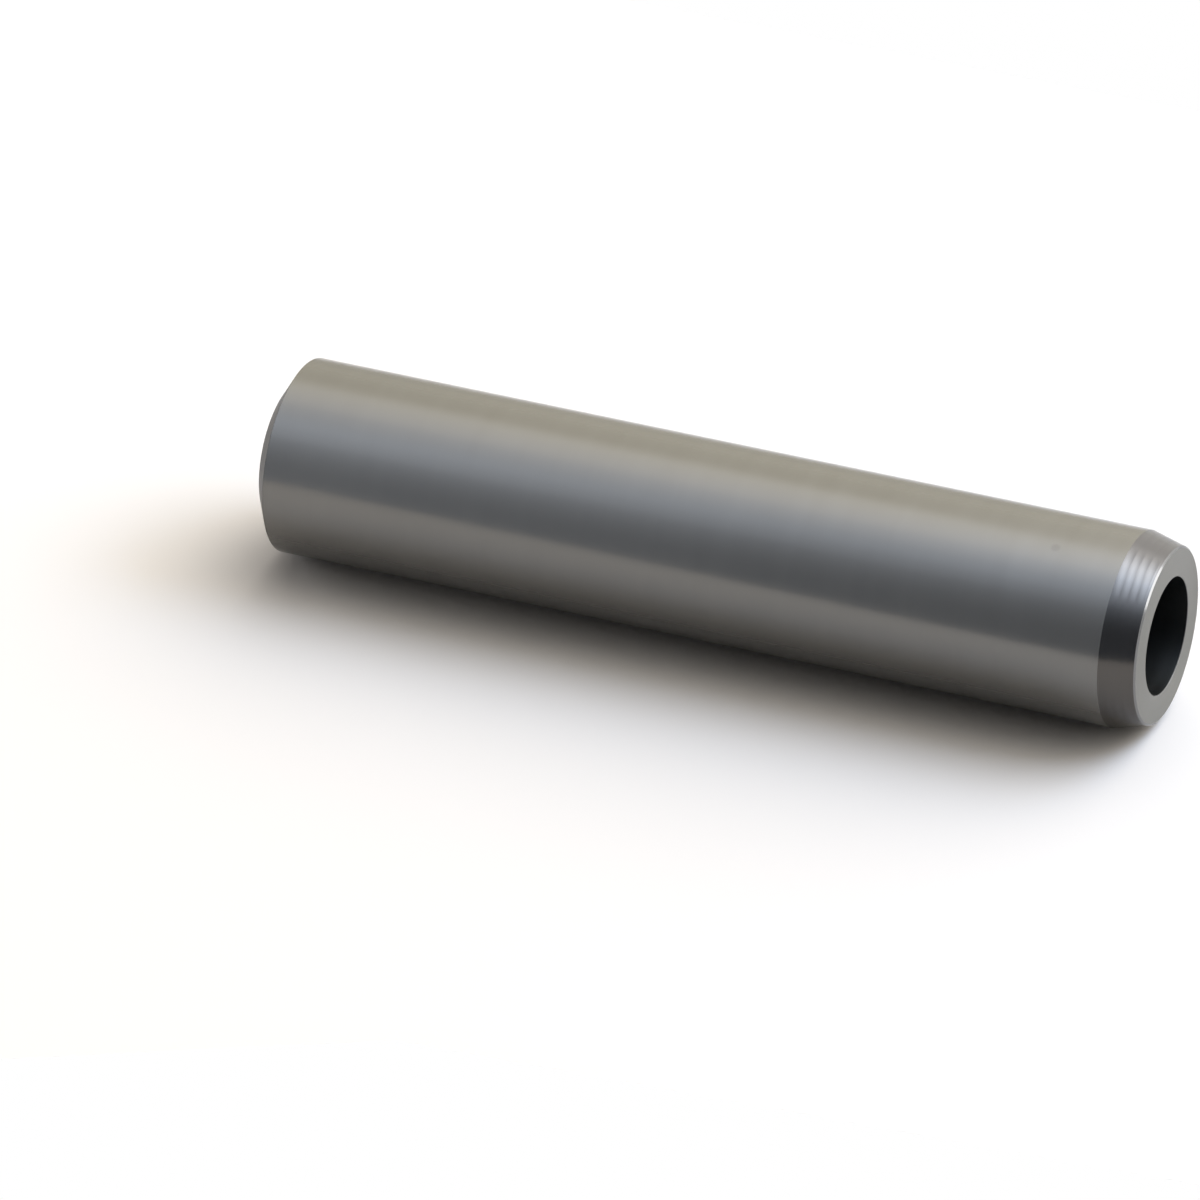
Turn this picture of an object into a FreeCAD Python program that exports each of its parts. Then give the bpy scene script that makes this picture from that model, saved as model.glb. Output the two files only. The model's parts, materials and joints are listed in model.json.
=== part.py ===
import FreeCAD, Part
import math
import os
import Sketcher

# Valve guide, a plain turned tube in one piece.
# It stands on its lead-in face: the axis is +Z and the origin is the centre of that face.
# Lengths are in millimetres and angles in degrees.

NODE = "valve_guide"
PARTS_FOLDER = "parts"

# Driving sizes: alias in the sheet, value, what it measures.
DRIVING_SIZES = [
    ("outer_diameter", 15.0, "ground outside, pressed into the cylinder head"),
    ("bore_diameter", 9.0, "finished bore that the valve stem slides in"),
    ("overall_length", 71.0, "from the lead-in face to the top face"),
    ("lead_length", 2.7, "lead-in taper, measured along the axis"),
    ("lead_angle", 15.0, "lead-in taper, between its side and the axis"),
    ("top_land", 0.88, "flat ring between the bore mouth and the top chamfer"),
    ("top_slope", 30.0, "top chamfer, between its side and the top face"),
    ("rim_break", 0.12, "corner taken off where the taper meets the lead-in face"),
    ("mouth_break", 0.04, "corner taken off at each mouth of the bore"),
    ("feed_pitch", 0.60, "distance along the axis from one turned ring to the next"),
    ("nose_radius", 4.0, "radius of the hollow of each turned ring on the taper"),
]

# A cutting profile reaches this far past the surface that it cuts.
OVERCUT = 1.0

# Places on the half section, as expressions that read the sheet.
OUTER_RADIUS = "Sizes.outer_diameter / 2"
BORE_RADIUS = "Sizes.bore_diameter / 2"
LENGTH = "Sizes.overall_length"
TAPER_SLOPE = "tan(Sizes.lead_angle)"
TOP_EDGE_RADIUS = f"{BORE_RADIUS} + Sizes.mouth_break + Sizes.top_land"
TOP_CHAMFER_LENGTH = f"({OUTER_RADIUS} - ({TOP_EDGE_RADIUS})) * tan(Sizes.top_slope)"


def make_sheet(doc):
    """The driving sizes, each in a cell with its own alias."""
    sheet = doc.addObject("Spreadsheet::Sheet", "Sizes")
    for row, (alias, value, meaning) in enumerate(DRIVING_SIZES, start=1):
        sheet.set(f"A{row}", alias)
        sheet.set(f"B{row}", str(value))
        sheet.set(f"C{row}", meaning)
        sheet.setAlias(f"B{row}", alias)
    doc.recompute()
    return sheet


def number(sheet, expression):
    """What an expression comes to at the sheet's present sizes."""
    return float(sheet.evalExpression(expression))


def origin_plane(body, role):
    """One of the body's own origin planes, found by its role."""
    return next(f for f in body.Origin.OriginFeatures if f.Role == role)


def hollow_arc(lower, upper, radius):
    """Arc from upper down to lower that bows towards the axis, with its centre outside the part."""
    chord = upper - lower
    outward = FreeCAD.Vector(chord.y, -chord.x, 0).normalize()
    half_chord = chord.Length / 2
    centre = (lower + upper) / 2 + outward * math.sqrt(radius**2 - half_chord**2)
    circle = Part.Circle(centre, FreeCAD.Vector(0, 0, 1), radius)
    return Part.ArcOfCircle(circle, circle.parameter(upper), circle.parameter(lower))


def fix_corner(sketch, sheet, edge, end, corner):
    """Ties one corner to its radius from the axis and its height above the lead-in face."""
    for direction, expression in zip(("DistanceX", "DistanceY"), corner):
        value = number(sheet, expression)
        if value == 0:
            sketch.addConstraint(Sketcher.Constraint("PointOnObject", edge, end, -1))
            continue
        tie = sketch.addConstraint(Sketcher.Constraint(direction, -1, 1, edge, end, value))
        sketch.setExpression(f"Constraints[{tie}]", expression)


def half_section(body, sheet, name, corners, hollow_edges=()):
    """Closed outline on the XZ plane, run anticlockwise through corners of radius and height.
    The edges numbered in hollow_edges are hollows of the turning tool's nose."""
    sketch = body.newObject("Sketcher::SketchObject", name)
    sketch.AttachmentSupport = [(origin_plane(body, "XZ_Plane"), "")]
    sketch.MapMode = "FlatFace"
    points = [FreeCAD.Vector(number(sheet, r), number(sheet, h), 0) for r, h in corners]
    ends = []
    for edge, start in enumerate(points):
        finish = points[(edge + 1) % len(points)]
        if edge in hollow_edges:
            sketch.addGeometry(hollow_arc(start, finish, number(sheet, "Sizes.nose_radius")))
            ends.append((2, 1))
        else:
            sketch.addGeometry(Part.LineSegment(start, finish))
            ends.append((1, 2))
    for edge, (start_end, finish_end) in enumerate(ends):
        following = (edge + 1) % len(ends)
        joint = Sketcher.Constraint("Coincident", edge, finish_end, following, ends[following][0])
        sketch.addConstraint(joint)
        fix_corner(sketch, sheet, edge, start_end, corners[edge])
    for edge in hollow_edges:
        radius = Sketcher.Constraint("Radius", edge, number(sheet, "Sizes.nose_radius"))
        tie = sketch.addConstraint(radius)
        sketch.setExpression(f"Constraints[{tie}]", "Sizes.nose_radius")
    return sketch


def turn(body, kind, name, sketch):
    """A full turn of a half section about the axis, which adds or removes metal."""
    feature = body.newObject(kind, name)
    feature.Profile = sketch
    feature.ReferenceAxis = (sketch, ["V_Axis"])
    feature.Angle = 360
    body.Document.recompute()
    return feature


def turn_away(body, name, sketch):
    """A full turn that has to remove metal."""
    before = body.Shape.Volume
    groove = turn(body, "PartDesign::Groove", name, sketch)
    if body.Shape.Volume >= before:
        raise RuntimeError(f"{name} removes nothing")
    return groove


def blank(body, sheet):
    """The tube: ground outside, finished bore, both ends faced square."""
    corners = [
        (BORE_RADIUS, "0"),
        (OUTER_RADIUS, "0"),
        (OUTER_RADIUS, LENGTH),
        (BORE_RADIUS, LENGTH),
    ]
    section = half_section(body, sheet, "blank_section", corners)
    return turn(body, "PartDesign::Revolution", "blank", section)


def ring_count(sheet):
    """How many whole turned rings fit on the taper above its broken rim."""
    room = number(sheet, "Sizes.lead_length - 2 * Sizes.rim_break")
    return max(0, math.floor(room / number(sheet, "Sizes.feed_pitch")))


def taper_point(depth):
    """Point on the side of the taper, at a depth below the ground diameter along the axis."""
    return (f"{OUTER_RADIUS} - ({depth}) * {TAPER_SLOPE}", f"Sizes.lead_length - ({depth})")


def lead_in(body, sheet):
    """The lead-in taper. The tool's nose leaves it as hollow rings with sharp crests,
    and the crests lie on the true cone. A plain strip is left beside the rim."""
    rings = ring_count(sheet)
    crests = [taper_point(f"{ring} * Sizes.feed_pitch") for ring in range(rings, 0, -1)]
    corners = [
        taper_point("Sizes.lead_length"),
        *crests,
        (OUTER_RADIUS, "Sizes.lead_length"),
        (f"{OUTER_RADIUS} + {OVERCUT}", "Sizes.lead_length"),
        (f"{OUTER_RADIUS} + {OVERCUT}", "0"),
    ]
    hollows = range(1, rings + 1)
    section = half_section(body, sheet, "lead_in_section", corners, hollows)
    return turn_away(body, "lead_in", section)


def top_chamfer(body, sheet):
    """The flat chamfer of the top end. It leaves a narrow land round the bore."""
    corners = [
        (TOP_EDGE_RADIUS, LENGTH),
        (OUTER_RADIUS, f"{LENGTH} - {TOP_CHAMFER_LENGTH}"),
        (f"{OUTER_RADIUS} + {OVERCUT}", f"{LENGTH} - {TOP_CHAMFER_LENGTH}"),
        (f"{OUTER_RADIUS} + {OVERCUT}", LENGTH),
    ]
    section = half_section(body, sheet, "top_chamfer_section", corners)
    return turn_away(body, "top_chamfer", section)


def circle_edge(shape, radius, height):
    """Name of the whole circle of this radius that lies at this height."""
    for index, edge in enumerate(shape.Edges, start=1):
        box = edge.BoundBox
        level = abs(box.ZMin - height) < 1e-4 and abs(box.ZMax - height) < 1e-4
        if level and abs(box.XMax - radius) < 1e-4:
            return f"Edge{index}"
    raise RuntimeError(f"no circle of radius {radius:.3f} at height {height:.3f}")


def break_corners(body, name, places, size):
    """Takes the corner off each of these circles by one size of the sheet."""
    base = body.Tip
    edges = [circle_edge(base.Shape, radius, height) for radius, height in places]
    chamfer = body.newObject("PartDesign::Chamfer", name)
    chamfer.Base = (base, edges)
    chamfer.setExpression("Size", size)
    body.Document.recompute()
    return chamfer


def corner_breaks(body, sheet):
    """The rim of the lead-in face and the two mouths of the bore."""
    bore = number(sheet, BORE_RADIUS)
    rim = number(sheet, taper_point("Sizes.lead_length")[0])
    mouths = [(bore, 0), (bore, number(sheet, LENGTH))]
    break_corners(body, "rim_corner", [(rim, 0)], "Sizes.rim_break")
    break_corners(body, "mouth_corners", mouths, "Sizes.mouth_break")


def check(doc):
    """Stops the build if any object of the document failed or any shape is empty or not valid."""
    for thing in doc.Objects:
        if "Invalid" in thing.State or "Error" in thing.State:
            raise RuntimeError(f"{thing.Name} failed: {thing.State}")
        if not hasattr(thing, "Shape") or thing.isDerivedFrom("App::OriginFeature"):
            continue
        if thing.Shape.isNull() or not thing.Shape.isValid():
            raise RuntimeError(f"{thing.Name} has no valid shape")


def main():
    doc = FreeCAD.newDocument("ValveGuide")
    sheet = make_sheet(doc)
    guide = doc.addObject("PartDesign::Body", NODE)
    guide.Label = NODE
    blank(guide, sheet)
    lead_in(guide, sheet)
    top_chamfer(guide, sheet)
    corner_breaks(guide, sheet)
    guide.Placement = FreeCAD.Placement()
    doc.recompute()
    check(doc)
    os.makedirs(PARTS_FOLDER, exist_ok=True)
    guide.Shape.exportStep(os.path.join(PARTS_FOLDER, f"{guide.Label}.step"))
    box = guide.Shape.optimalBoundingBox()
    print(f"{NODE}: {box.XLength:.3f} x {box.YLength:.3f} x {box.ZLength:.3f} mm,")
    print(f"volume {guide.Shape.Volume:.1f} mm3, {len(guide.Shape.Faces)} faces")


main()
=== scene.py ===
import json
import math

import bmesh
import bpy
from mathutils import Matrix, Vector


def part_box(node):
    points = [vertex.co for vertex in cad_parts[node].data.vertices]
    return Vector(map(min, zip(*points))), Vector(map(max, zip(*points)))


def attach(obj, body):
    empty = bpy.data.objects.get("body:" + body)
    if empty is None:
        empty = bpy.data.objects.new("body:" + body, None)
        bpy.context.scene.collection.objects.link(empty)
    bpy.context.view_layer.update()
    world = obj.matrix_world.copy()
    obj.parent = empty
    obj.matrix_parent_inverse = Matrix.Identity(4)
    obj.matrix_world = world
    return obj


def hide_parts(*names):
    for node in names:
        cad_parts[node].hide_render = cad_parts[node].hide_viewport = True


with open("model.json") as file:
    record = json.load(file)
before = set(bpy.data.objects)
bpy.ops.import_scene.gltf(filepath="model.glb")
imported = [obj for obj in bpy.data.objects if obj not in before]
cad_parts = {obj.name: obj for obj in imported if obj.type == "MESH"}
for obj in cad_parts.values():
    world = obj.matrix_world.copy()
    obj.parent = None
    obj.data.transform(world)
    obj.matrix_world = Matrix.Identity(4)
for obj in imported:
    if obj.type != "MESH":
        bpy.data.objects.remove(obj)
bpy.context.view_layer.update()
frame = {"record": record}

MM = 0.001
NODE = "valve_guide"

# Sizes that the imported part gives.
LOW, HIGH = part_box(NODE)
MOUNT_SIZES = {mount["name"]: mount["dims"] for mount in frame["record"]["mounts"]}
LENGTH = HIGH.z
OUTER_RADIUS = min(HIGH.x, HIGH.y, -LOW.x, -LOW.y)
BORE_RADIUS = MOUNT_SIZES["stem_bore"]["r_mm"] * MM
MOUTH_BREAK = (LENGTH - MOUNT_SIZES["stem_bore"]["length_mm"] * MM) / 2

# Sizes of the two ends, as in the part's source.
LEAD_LENGTH = 2.7 * MM
LEAD_ANGLE = math.radians(15)
TOP_LAND = 0.88 * MM
TOP_SLOPE = math.radians(30)
RIM_BREAK = 0.12 * MM
FEED_PITCH = 0.60 * MM
NOSE_RADIUS = 4.0 * MM

# The corners of the top chamfer are slightly rounded, as deburring leaves them.
CORNER_ROUND = 0.03 * MM

# How finely the turned surface is divided.
SEGMENTS = 384
FACE_STEPS = 8
RING_STEPS = 12
ROUND_STEPS = 5
BARREL_STEPS = 24
BORE_STEPS = 16

# Marks that grinding, turning and reaming leave round the axis: how long a fine one runs, how
# many times as far apart and as long the broad ones are, and by what share these change the
# roughness.
MARK_RUN = 5 * MM
BROAD_SPACING = 8
BROAD_RUN = 2
UNEVENNESS = 0.08

# The noise behind the marks: how many finer layers it has, and the two values between which
# most of it lies.
NOISE_DETAIL = 3.0
NOISE_LOW, NOISE_HIGH = 0.3, 0.7

# Unless a metal has its own: by what share its tone varies, and how much of the light it sends
# back at a glancing angle.
TONE_SPREAD = 0.015
EDGE_TINT = 0.85

# The marks on the flat ends stretch a reflection along the radius: how strongly, and the
# direction as a share of a full turn.
FACE_STRETCH = 0.6
FACE_STRETCH_TURN = 0.25

# A small dull spot on the barrel: radius, the share of it that is evenly dull, how much of the
# metal's tone is left there, and its place in the part's frame.
SPOT_RADIUS = 0.42 * MM
SPOT_CORE = 0.6
SPOT_TONE = 0.86
SPOT_PLACE = (-2.415 * MM, -7.10 * MM, 8.02 * MM)

# The guide lies on its side in the photograph. The studio is described from there, from the
# middle of the guide's axis: u points level to the camera's side, v level to the lead-in end,
# and w up from the floor. A direction is given by its bearing, from the camera's side towards
# the lead-in end, and its height above level, both in degrees.
MIDDLE = LENGTH / 2

# Camera: the place that it aims at, as u, v and w, and the direction and distance from there.
# The lens and the width of the sensor are in millimetres.
CAMERA_AIM = (3.296 * MM, -8.521 * MM, -5.096 * MM)
CAMERA_BEARING = 22.528
CAMERA_HEIGHT = 30.684
CAMERA_DISTANCE = 975.9 * MM
LENS = 390.0
SENSOR = 36.0

# Floor, a pale sheet with its edges close enough to show in the metal. The front edge is a
# bent line through these places: along v, and in front of the guide.
FLOOR_COLOUR = (0.95, 0.95, 0.97)
FLOOR_FRONT = [(-330 * MM, 235 * MM), (0, 62 * MM), (330 * MM, 38 * MM)]
FLOOR_BACK = 90 * MM

# The lamps and the fill are stated by how bright they make the floor, so its own tone is
# divided out of them.
FLOOR_TONE = FLOOR_COLOUR[1]

# Light tent, a tunnel round the guide that shows in the metal: radius, reach each way along v,
# how far it goes below level in degrees, and how finely its colours are divided.
TENT_RADIUS = 300 * MM
TENT_REACH = 380 * MM
TENT_FOOT = 20
TENT_COLUMNS = 48
TENT_ROWS = 110

# Lamps. Their brightness is what the face gives the floor. The lamps and the card stand this
# far from what they look at.
LAMP_DISTANCE = 280 * MM
KEY = {
    "name": "key",
    "bearing": 121.8,
    "height": 47.3,
    "size": (173 * MM, 99 * MM),
    "brightness": 2.51,
    "colour": (0.55, 1.0, 1.69),
}
SIDE = {
    "name": "side",
    "bearing": 266.1,
    "height": 10.4,
    "size": (370 * MM, 67 * MM),
    "brightness": 2.80,
    "colour": (1.05, 1.0, 0.95),
}

# Fill from behind the lead-in end: bearing, height, strength, colour, and how narrow it is.
FILL_BEARING = 144.0
FILL_HEIGHT = 39.5
FILL_STRENGTH = 3.345
FILL_COLOUR = (1.08, 1.0, 0.88)
FILL_FOCUS = 6.6

# Bright card low behind the lead-in end, which shows as a line of light on the rim.
CARD = {"bearing": 115.0, "height": 14.5, "size": (172 * MM, 84 * MM), "strength": 4.9}


def studio_direction(u, v, w):
    """A direction given in the studio's terms, in the part's frame."""
    return Vector((-u, -w, -v))


def studio_point(u, v, w):
    """A place given in the studio's terms from the middle of the guide's axis."""
    return Vector((0, 0, MIDDLE)) + studio_direction(u, v, w)


def bearing_direction(bearing, height):
    """Direction with a bearing from the camera's side towards the lead-in end, and a height."""
    bearing, height = math.radians(bearing), math.radians(height)
    level = math.cos(height)
    return studio_direction(level * math.cos(bearing), level * math.sin(bearing), math.sin(height))


def aimed(target, bearing, height, distance):
    """Placement of a camera, lamp or card that looks at target from a bearing and a height."""
    place = target + bearing_direction(bearing, height) * distance
    back = (place - target).normalized()
    right = studio_direction(0, 0, 1).cross(back).normalized()
    turned = Matrix((right, back.cross(right), back)).transposed().to_4x4()
    return Matrix.Translation(place) @ turned


def smooth_step(value, low, high):
    """0 below low, 1 above high and a smooth rise between."""
    share = min(1.0, max(0.0, (value - low) / (high - low)))
    return share * share * (3 - 2 * share)


def between(stops, place):
    """Reads a list of (place, value) stops, with a smooth change from each to the next."""
    if place <= stops[0][0]:
        return stops[0][1]
    for (low, first), (high, second) in zip(stops, stops[1:]):
        if place <= high:
            return first + (second - first) * smooth_step(place, low, high)
    return stops[-1][1]


# Profile of the guide, as strips. Each strip is the name of its surface with a list of
# (radius, height) points, and neighbouring strips share their end point.


def divided(start, end, steps=1):
    """Points of a straight strip."""
    return [tuple(Vector(start).lerp(Vector(end), step / steps)) for step in range(steps + 1)]


def corner_round(before, corner, after):
    """Points of the small round that replaces a corner between two straight lines."""
    arriving = (Vector(corner) - Vector(before)).normalized()
    leaving = (Vector(after) - Vector(corner)).normalized()
    turn = arriving.angle(leaving)
    side = 1 if arriving.x * leaving.y - arriving.y * leaving.x > 0 else -1
    inward = Vector((-arriving.y, arriving.x)) * side
    start = Vector(corner) - arriving * CORNER_ROUND * math.tan(turn / 2)
    centre = start + inward * CORNER_ROUND
    points = []
    for step in range(ROUND_STEPS + 1):
        spoke = start - centre
        spoke.rotate(Matrix.Rotation(side * turn * step / ROUND_STEPS, 2))
        points.append(tuple(centre + spoke))
    return points


def ring_hollow(low, high):
    """Points of one turned ring, a hollow of the tool's nose between two crests."""
    low, high = Vector(low), Vector(high)
    half = (high - low).length / 2
    along = (high - low).normalized()
    inward = Vector((-along.y, along.x))
    deepest = math.sqrt(NOSE_RADIUS**2 - half**2)
    points = []
    for step in range(RING_STEPS + 1):
        offset = half * (2 * step / RING_STEPS - 1)
        depth = math.sqrt(NOSE_RADIUS**2 - offset**2) - deepest
        points.append(tuple((low + high) / 2 + along * offset + inward * depth))
    return points


def lead_in_strips(rim, shoulder):
    """The broken rim, then the taper: a plain strip and the turned rings up to the barrel."""
    rim, shoulder = Vector(rim), Vector(shoulder)
    rings = math.floor((LEAD_LENGTH - 2 * RIM_BREAK) / FEED_PITCH)
    crests = [shoulder.lerp(rim, ring * FEED_PITCH / LEAD_LENGTH) for ring in range(rings, -1, -1)]
    face_edge = (rim.x - RIM_BREAK, 0)
    taper_edge = rim + (shoulder - rim).normalized() * RIM_BREAK
    strips = [("rim", divided(face_edge, taper_edge)), ("taper", divided(taper_edge, crests[0]))]
    for low, high in zip(crests, crests[1:]):
        strips.append(("taper", ring_hollow(low, high)))
    return strips


def profile_strips():
    """The strips in order: up the outside from the lead-in face, and back down the bore."""
    mouth_radius = BORE_RADIUS + MOUTH_BREAK
    rim_radius = OUTER_RADIUS - LEAD_LENGTH * math.tan(LEAD_ANGLE)
    top_radius = mouth_radius + TOP_LAND
    top_drop = (OUTER_RADIUS - top_radius) * math.tan(TOP_SLOPE)

    lead_mouth = (mouth_radius, 0)
    shoulder = (OUTER_RADIUS, LEAD_LENGTH)
    top_shoulder = (OUTER_RADIUS, LENGTH - top_drop)
    top_rim = (top_radius, LENGTH)
    top_mouth = (mouth_radius, LENGTH)
    bore_top = (BORE_RADIUS, LENGTH - MOUTH_BREAK)
    bore_foot = (BORE_RADIUS, MOUTH_BREAK)
    shoulder_round = corner_round(shoulder, top_shoulder, top_rim)
    rim_round = corner_round(top_shoulder, top_rim, top_mouth)

    return [
        ("face", divided(lead_mouth, (rim_radius - RIM_BREAK, 0), FACE_STEPS)),
        *lead_in_strips((rim_radius, 0), shoulder),
        ("barrel", divided(shoulder, shoulder_round[0], BARREL_STEPS)),
        ("chamfer", shoulder_round),
        ("chamfer", divided(shoulder_round[-1], rim_round[0], FACE_STEPS)),
        ("chamfer", rim_round),
        ("face", divided(rim_round[-1], top_mouth, FACE_STEPS)),
        ("mouth", divided(top_mouth, bore_top)),
        ("bore", divided(bore_top, bore_foot, BORE_STEPS)),
        ("mouth", divided(bore_foot, lead_mouth)),
    ]


def turn_profile(strips, surfaces):
    """Turns the strips into one closed mesh, smooth within a strip and creased between two."""
    build = bmesh.new()
    angles = [2 * math.pi * step / SEGMENTS for step in range(SEGMENTS)]

    def circle(radius, height):
        around = [(radius * math.cos(angle), radius * math.sin(angle)) for angle in angles]
        return [build.verts.new((x, y, height)) for x, y in around]

    start = strips[0][1][0]
    first = circle(*start)
    previous = first
    for surface, points in strips:
        for point in points[1:]:
            closes = points is strips[-1][1] and point is points[-1]
            current = first if closes else circle(*point)
            for step in range(SEGMENTS):
                after = (step + 1) % SEGMENTS
                corners = (previous[step], previous[after], current[after], current[step])
                face = build.faces.new(corners)
                face.smooth = True
                face.material_index = surfaces.index(surface)
            previous = current
        for step in range(SEGMENTS):
            crease = build.edges.get((previous[step], previous[(step + 1) % SEGMENTS]))
            crease.smooth = False
    bmesh.ops.recalc_face_normals(build, faces=build.faces)
    mesh = bpy.data.meshes.new(NODE + "_turned")
    build.to_mesh(mesh)
    build.free()
    return mesh


# Materials


def new_material(name):
    """An empty node material, with its tree."""
    material = bpy.data.materials.new(name)
    material.use_nodes = True
    material.node_tree.nodes.clear()
    return material, material.node_tree


def feed(tree, socket, value):
    """Gives an input its value, a plain one or another node's output."""
    if isinstance(value, bpy.types.NodeSocket):
        tree.links.new(value, socket)
    else:
        socket.default_value = value


def add(tree, kind, settings=(), **inputs):
    """Adds a node, sets its properties and its inputs, and returns it. An input's name has an
    underscore for each space."""
    node = tree.nodes.new(kind)
    for name, value in dict(settings).items():
        setattr(node, name, value)
    for name, value in inputs.items():
        feed(tree, node.inputs[name.replace("_", " ")], value)
    return node


def maths(tree, operation, first, second):
    """What an operation of the Math node makes of two values."""
    node = add(tree, "ShaderNodeMath", {"operation": operation})
    feed(tree, node.inputs[0], first)
    feed(tree, node.inputs[1], second)
    return node.outputs["Value"]


def mixed(tree, share, first, second):
    """A shader that is first where share is 0 and second where it is 1."""
    node = add(tree, "ShaderNodeMixShader")
    for socket, value in zip(node.inputs, (share, first, second)):
        feed(tree, socket, value)
    return node.outputs["Shader"]


def scaled(tree, value, low, high):
    """A noise value brought to the range from low to high."""
    limits = {"From_Min": NOISE_LOW, "From_Max": NOISE_HIGH, "To_Min": low, "To_Max": high}
    return add(tree, "ShaderNodeMapRange", Value=value, **limits).outputs["Result"]


def tool_marks(tree, spacing, run):
    """Noise that changes every spacing across the tool's path and every run along it. The
    path goes round the axis, on the barrel, the tapers and the flat ends alike."""
    place = add(tree, "ShaderNodeTexCoord").outputs["Object"]
    parts = add(tree, "ShaderNodeSeparateXYZ", Vector=place).outputs
    flat = add(tree, "ShaderNodeCombineXYZ", X=parts["X"], Y=parts["Y"]).outputs["Vector"]
    radius = add(tree, "ShaderNodeVectorMath", {"operation": "LENGTH"}, Vector=flat)
    advance = maths(tree, "ADD", radius.outputs["Value"], parts["Z"])
    across = maths(tree, "DIVIDE", advance, spacing)
    along_x = maths(tree, "DIVIDE", parts["X"], run)
    along_y = maths(tree, "DIVIDE", parts["Y"], run)
    stretched = add(tree, "ShaderNodeCombineXYZ", X=along_x, Y=along_y, Z=across).outputs["Vector"]
    noise = add(tree, "ShaderNodeTexNoise", Vector=stretched, Scale=1.0, Detail=NOISE_DETAIL)
    return noise.outputs["Fac"]


def tone_range(tree, value, colour, spread):
    """A colour that noise makes a little darker or lighter, by the share spread."""
    dark = [part * (1 - spread) for part in colour]
    light = [part * (1 + spread) for part in colour]
    mix = add(tree, "ShaderNodeMix", {"data_type": "RGBA"}, Factor=scaled(tree, value, 0, 1))
    colour_sockets = [socket for socket in mix.inputs if socket.type == "RGBA"]
    colour_sockets[0].default_value = (*dark, 1)
    colour_sockets[1].default_value = (*light, 1)
    return next(socket for socket in mix.outputs if socket.type == "RGBA")


def metal(
    name, colour, roughness, spacing, depth, polished=1.0, spread=TONE_SPREAD, edge_tint=EDGE_TINT
):
    """Bare metal with tool marks round the axis. The fine marks, spacing apart and depth deep,
    tilt the surface a little, and broader ones change its tone and roughness. Where less than
    all of it is polished, the rest is dull and scatters light."""
    material, tree = new_material(name)
    fine = tool_marks(tree, spacing, MARK_RUN)
    broad = tool_marks(tree, BROAD_SPACING * spacing, BROAD_RUN * MARK_RUN)
    tone = tone_range(tree, broad, colour, spread)
    uneven = scaled(tree, broad, roughness * (1 - UNEVENNESS), roughness * (1 + UNEVENNESS))
    bump = add(tree, "ShaderNodeBump", Height=fine, Distance=depth, Strength=1.0)
    shader = add(
        tree,
        "ShaderNodeBsdfPrincipled",
        Base_Color=tone,
        Roughness=uneven,
        Metallic=polished,
        Specular_Tint=(edge_tint, edge_tint, edge_tint, 1),
        Normal=bump.outputs["Normal"],
    )
    add(tree, "ShaderNodeOutputMaterial", Surface=shader.outputs["BSDF"])
    return material


def shader_of(material):
    """The material's Principled shader."""
    return next(node for node in material.node_tree.nodes if node.type == "BSDF_PRINCIPLED")


def add_spot(material):
    """Darkens the small dull spot in a material's tone."""
    tree = material.node_tree
    shader = shader_of(material)
    tone = shader.inputs["Base Color"].links[0].from_socket
    place = add(tree, "ShaderNodeTexCoord").outputs["Object"]
    away = add(tree, "ShaderNodeVectorMath", {"operation": "DISTANCE"}, Vector=place)
    away.inputs[1].default_value = SPOT_PLACE
    limits = {"From_Min": SPOT_CORE * SPOT_RADIUS, "From_Max": SPOT_RADIUS, "To_Min": SPOT_TONE}
    spot = add(tree, "ShaderNodeMapRange", Value=away.outputs["Value"], **limits).outputs["Result"]
    dulled = add(tree, "ShaderNodeVectorMath", {"operation": "SCALE"}, Vector=tone, Scale=spot)
    tree.links.new(dulled.outputs["Vector"], shader.inputs["Base Color"])


def barrel_metal():
    """Centreless ground iron, with one small dull spot near the lead-in end."""
    look = {"colour": (0.199, 0.195, 0.186), "roughness": 0.22, "polished": 0.64}
    material = metal("barrel_ground", spacing=0.14 * MM, depth=0.0006 * MM, **look)
    add_spot(material)
    return material


def taper_metal():
    """The turned lead-in, darker than the ground barrel."""
    look = {"colour": (0.096, 0.090, 0.084), "roughness": 0.2, "polished": 0.9}
    return metal("taper_turned", spacing=0.10 * MM, depth=0.0008 * MM, **look)


def rim_metal():
    """The broken corner round the lead-in face, rubbed bright."""
    look = {"colour": (0.19, 0.19, 0.19), "roughness": 0.16}
    return metal("rim_broken", spacing=0.05 * MM, depth=0.0004 * MM, **look)


def face_metal():
    """The flat ends, faced with a fine feed. The marks stretch a reflection along the radius."""
    look = {"colour": (0.163, 0.162, 0.147), "roughness": 0.3, "polished": 0.65, "spread": 0.03}
    material = metal("face_turned", spacing=0.09 * MM, depth=0.001 * MM, **look)
    shader = shader_of(material)
    shader.inputs["Anisotropic"].default_value = FACE_STRETCH
    shader.inputs["Anisotropic Rotation"].default_value = FACE_STRETCH_TURN
    return material


def chamfer_metal():
    """The turned chamfer of the top end."""
    look = {"colour": (0.07, 0.07, 0.07), "roughness": 0.3, "edge_tint": 0.57}
    return metal("chamfer_turned", spacing=0.10 * MM, depth=0.001 * MM, **look)


def mouth_metal():
    """The small break at the mouths of the bore."""
    look = {"colour": (0.15, 0.15, 0.15), "roughness": 0.25}
    return metal("mouth_broken", spacing=0.03 * MM, depth=0.0004 * MM, **look)


def bore_metal():
    """The reamed bore, dark inside."""
    look = {"colour": (0.045, 0.047, 0.047), "roughness": 0.45, "edge_tint": 0.4}
    return metal("bore_reamed", spacing=0.12 * MM, depth=0.001 * MM, **look)


SURFACES = {
    "face": face_metal,
    "rim": rim_metal,
    "taper": taper_metal,
    "barrel": barrel_metal,
    "chamfer": chamfer_metal,
    "mouth": mouth_metal,
    "bore": bore_metal,
}


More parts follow.
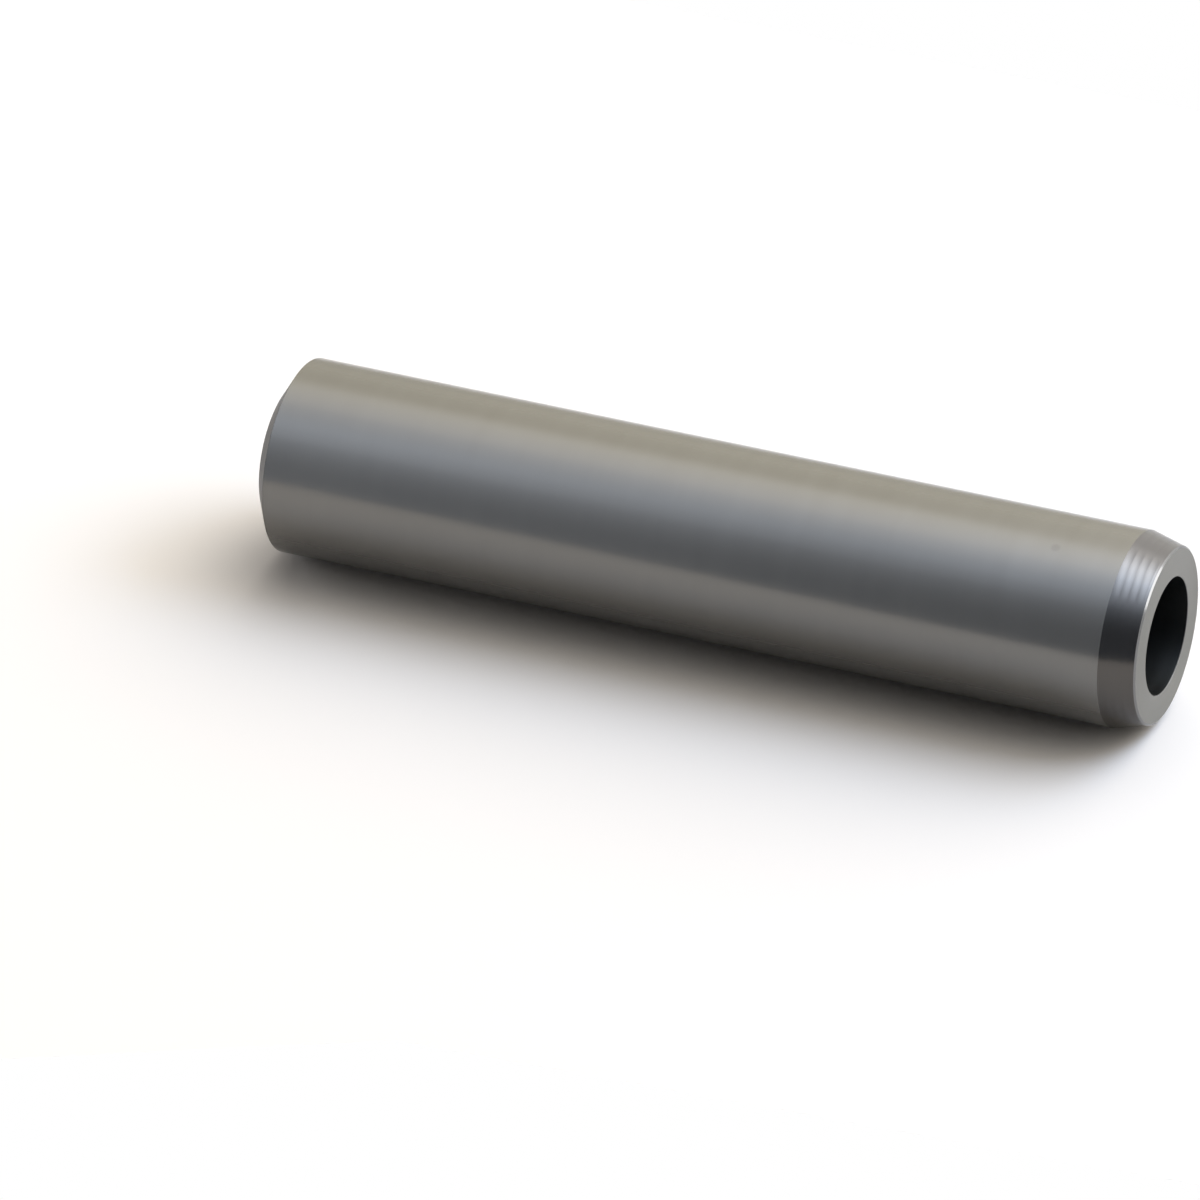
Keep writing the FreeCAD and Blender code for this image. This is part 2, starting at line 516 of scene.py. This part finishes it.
def make_guide():
    """The guide's visible surface, which stands for the CAD solid."""
    mesh = turn_profile(profile_strips(), list(SURFACES))
    for surface_metal in SURFACES.values():
        mesh.materials.append(surface_metal())
    guide = bpy.data.objects.new("guide_surface", mesh)
    bpy.context.scene.collection.objects.link(guide)
    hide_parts(NODE)
    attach(guide, "root")


# Stage


def straight_to_eye(tree):
    """1 where no dull surface lies between the light and the eye, and 0 elsewhere."""
    bounces = add(tree, "ShaderNodeLightPath").outputs["Diffuse Depth"]
    return maths(tree, "LESS_THAN", bounces, 1)


def floor_material():
    """Pale and dull. Seen from underneath the floor isn't there, nor what the metal would
    show of it to someone who looks from underneath."""
    material, tree = new_material("floor_pale")
    pale = add(tree, "ShaderNodeBsdfDiffuse", Color=(*FLOOR_COLOUR, 1)).outputs["BSDF"]
    nothing = add(tree, "ShaderNodeBsdfTransparent").outputs["BSDF"]
    underneath = add(tree, "ShaderNodeNewGeometry").outputs["Backfacing"]
    passed = add(tree, "ShaderNodeLightPath").outputs["Transparent Depth"]
    left_out = maths(tree, "MAXIMUM", underneath, passed)
    add(tree, "ShaderNodeOutputMaterial", Surface=mixed(tree, left_out, pale, nothing))
    return material


def make_floor():
    """Pale floor that the guide lies on."""
    corners = []
    for along, front in FLOOR_FRONT:
        corners.append(studio_point(-FLOOR_BACK, along, -OUTER_RADIUS))
        corners.append(studio_point(front, along, -OUTER_RADIUS))
    starts = range(0, len(corners) - 2, 2)
    strips = [(start, start + 1, start + 3, start + 2) for start in starts]
    mesh = bpy.data.meshes.new("floor")
    mesh.from_pydata(corners, [], strips)
    if mesh.polygons[0].normal.dot(studio_direction(0, 0, 1)) < 0:
        mesh.flip_normals()
    mesh.materials.append(floor_material())
    floor = bpy.data.objects.new("floor", mesh)
    bpy.context.scene.collection.objects.link(floor)


# Glow of the tent by angle in degrees: 0 is level on the camera's side, 90 overhead and 180
# level behind. The barrel shows the far part of the tent, and the lead-in taper the near part.
FAR_GLOW = [
    (-5, 0.30), (15, 0.30), (28, 0.38), (41, 0.52), (54, 0.85), (68, 1.28), (82, 1.72),
    (97, 2.12), (114, 2.20), (133, 1.45), (157, 1.37), (176, 0.88), (190, 0.70),
]
NEAR_GLOW = [
    (-5, 0.20), (18, 0.18), (31, 0.22), (41, 0.39), (50, 0.67), (60, 1.45), (71, 3.10),
    (81, 4.70), (92, 6.75), (106, 7.40), (118, 5.30), (128, 3.80), (142, 2.50),
    (159, 2.20), (176, 1.60), (190, 1.33),
]

# The near part takes over from the far part between these two places along v.
NEAR_FROM, NEAR_TO = -62 * MM, -12 * MM

# The front of the tent grows brighter towards its far end: the place along v where it has its
# plain level, the length that changes it by a factor e, the most that it grows by, and the
# angles over which all this dies away. Past the far end the whole tent is a little dimmer.
FALL_START, FALL_LENGTH, FALL_MOST = -62 * MM, 125 * MM, 2.2
FALL_LOW, FALL_HIGH = 45, 85
DIMMING, DIMMING_FROM, DIMMING_TO = 0.08, 110 * MM, 150 * MM

# The turned rings show one bright place of the near part: its middle along v, the distances
# over which it fades, how bright it is there and beside it, and the angles that bound it.
RING_MIDDLE, RING_NEAR, RING_AWAY = 78 * MM, 8 * MM, 48 * MM
RING_BRIGHT, RING_DIM = 1.2, 0.6
RING_RISE, RING_DROP = (58, 72), (118, 136)

# Tint by angle: 1 is as warm as WARM, -1 as cool as COOL. The near part is cooler, by an
# amount that goes by angle too, but no part is cooler than COOLEST.
WARMTH = [(66, -1.0), (82, -0.5), (97, 0.1), (114, 0.5), (130, 1.0), (160, 1.0), (190, 0.8)]
WARM = (1.065, 1.0, 0.81)
COOL = (0.91, 1.0, 1.15)
NEAR_COOLING = [(128, 1.2), (150, 1.0), (176, 0.8)]
COOLEST = -1.5


def far_level(angle, along):
    """Strength of the far part of the tent."""
    fall = min(FALL_MOST, math.exp((FALL_START - along) / FALL_LENGTH))
    front = 1 - smooth_step(angle, FALL_LOW, FALL_HIGH)
    dimmed = 1 - DIMMING * smooth_step(-along, DIMMING_FROM, DIMMING_TO)
    return between(FAR_GLOW, angle) * (1 + front * (fall - 1)) * dimmed


def near_level(angle, along):
    """Strength of the near part of the tent."""
    aside = smooth_step(abs(along - RING_MIDDLE), RING_NEAR, RING_AWAY)
    light = RING_BRIGHT + (RING_DIM - RING_BRIGHT) * aside
    window = smooth_step(angle, *RING_RISE) - smooth_step(angle, *RING_DROP)
    return between(NEAR_GLOW, angle) * (1 + window * (light - 1))


def tent_colour(angle, along):
    """Colour and strength of the tent at an angle in degrees and a place along v."""
    near = smooth_step(along, NEAR_FROM, NEAR_TO)
    level = far_level(angle, along) * (1 - near) + near_level(angle, along) * near
    warmth = max(COOLEST, between(WARMTH, angle) - between(NEAR_COOLING, angle) * near)
    tint = WARM if warmth > 0 else COOL
    return [level * (1 + abs(warmth) * (part - 1)) for part in tint] + [1.0]


def glow_material(name, strength, attribute=None):
    """Light that shows in the metal, and that the metal doesn't throw on to the floor. It is
    white, or takes its colours from an attribute of the mesh."""
    material, tree = new_material(name)
    shown_strength = maths(tree, "MULTIPLY", straight_to_eye(tree), strength)
    light = add(tree, "ShaderNodeEmission", Strength=shown_strength)
    if attribute:
        painted = add(tree, "ShaderNodeAttribute", {"attribute_name": attribute})
        tree.links.new(painted.outputs["Color"], light.inputs["Color"])
    add(tree, "ShaderNodeOutputMaterial", Surface=light.outputs["Emission"])
    material.cycles.emission_sampling = "NONE"
    return material


def add_to_stage(name, mesh, material):
    """Puts a mesh on the stage where only the metal shows it."""
    mesh.materials.append(material)
    item = bpy.data.objects.new(name, mesh)
    item.visible_camera = False
    item.visible_diffuse = False
    item.visible_shadow = False
    bpy.context.scene.collection.objects.link(item)


def make_tent():
    """The light tent. It only shows in the metal: the lamps light the floor."""
    places, colours, faces = [], [], []
    for row in range(TENT_ROWS + 1):
        angle = -TENT_FOOT + (180 + 2 * TENT_FOOT) * row / TENT_ROWS
        to_camera = TENT_RADIUS * math.cos(math.radians(angle))
        up = TENT_RADIUS * math.sin(math.radians(angle))
        for column in range(TENT_COLUMNS + 1):
            along = TENT_REACH * (2 * column / TENT_COLUMNS - 1)
            places.append(studio_point(to_camera, along, up))
            colours += tent_colour(angle, along)
    for row in range(TENT_ROWS):
        for column in range(TENT_COLUMNS):
            low = row * (TENT_COLUMNS + 1) + column
            high = low + TENT_COLUMNS + 1
            faces.append((low, low + 1, high + 1, high))
    mesh = bpy.data.meshes.new("tent")
    mesh.from_pydata(places, [], faces)
    glow = mesh.color_attributes.new("glow", "FLOAT_COLOR", "POINT")
    glow.data.foreach_set("color", colours)
    add_to_stage("tent", mesh, glow_material("tent_glow", 1.0, glow.name))


def make_card(bearing, height, size, strength):
    """A bright rectangle low behind the lead-in end, inside the tent."""
    sides = ((-1, -1), (1, -1), (1, 1), (-1, 1))
    corners = [(x * size[0] / 2, y * size[1] / 2, 0) for x, y in sides]
    mesh = bpy.data.meshes.new("card")
    mesh.from_pydata(corners, [], [(0, 1, 2, 3)])
    mesh.transform(aimed(studio_point(0, MIDDLE, 0), bearing, height, LAMP_DISTANCE))
    add_to_stage("card", mesh, glow_material("card_glow", strength))


def make_lamp(name, bearing, height, size, brightness, colour):
    """A soft rectangular lamp that looks at the guide. The metal shows the tent in its place."""
    data = bpy.data.lights.new(name, "AREA")
    data.shape = "RECTANGLE"
    data.size, data.size_y = size
    data.energy = brightness / FLOOR_TONE * math.pi * size[0] * size[1]
    data.color = colour
    lamp = bpy.data.objects.new(name, data)
    lamp.matrix_world = aimed(studio_point(0, 0, 0), bearing, height, LAMP_DISTANCE)
    lamp.visible_camera = False
    lamp.visible_glossy = False
    bpy.context.scene.collection.objects.link(lamp)


def make_world():
    """White where it is seen, by the camera or in the metal. For the rest it is a fill
    that is strongest behind the lead-in end and dies away towards the camera."""
    world = bpy.data.worlds.new("world")
    bpy.context.scene.world = world
    world.use_nodes = True
    tree = world.node_tree
    tree.nodes.clear()

    path = add(tree, "ShaderNodeLightPath").outputs
    mirrored = maths(tree, "MULTIPLY", path["Is Glossy Ray"], straight_to_eye(tree))
    seen = maths(tree, "MAXIMUM", path["Is Camera Ray"], mirrored)
    shown = maths(tree, "MAXIMUM", seen, path["Is Transmission Ray"])

    direction = add(tree, "ShaderNodeTexCoord").outputs["Generated"]
    along = add(tree, "ShaderNodeVectorMath", {"operation": "DOT_PRODUCT"}, Vector=direction)
    along.inputs[1].default_value = bearing_direction(FILL_BEARING, FILL_HEIGHT)
    share = add(tree, "ShaderNodeMapRange", Value=along.outputs["Value"], From_Min=-1.0)
    narrowed = maths(tree, "POWER", share.outputs["Result"], FILL_FOCUS)
    strength = maths(tree, "MULTIPLY", narrowed, FILL_STRENGTH / FLOOR_TONE)
    fill = add(tree, "ShaderNodeBackground", Color=(*FILL_COLOUR, 1), Strength=strength)

    white = add(tree, "ShaderNodeBackground", Color=(1, 1, 1, 1), Strength=1.0)
    chosen = mixed(tree, shown, fill.outputs["Background"], white.outputs["Background"])
    add(tree, "ShaderNodeOutputWorld", Surface=chosen)


def make_camera():
    """The photograph's viewpoint: a long lens that looks down on the lying guide."""
    data = bpy.data.cameras.new("camera")
    data.lens = LENS
    data.sensor_width = SENSOR
    camera = bpy.data.objects.new("camera", data)
    aim = studio_point(*CAMERA_AIM)
    camera.matrix_world = aimed(aim, CAMERA_BEARING, CAMERA_HEIGHT, CAMERA_DISTANCE)
    bpy.context.scene.collection.objects.link(camera)
    bpy.context.scene.camera = camera


make_camera()
make_guide()
make_floor()
make_tent()
make_card(**CARD)
make_lamp(**KEY)
make_lamp(**SIDE)
make_world()
bpy.context.scene.view_settings.view_transform = "Standard"
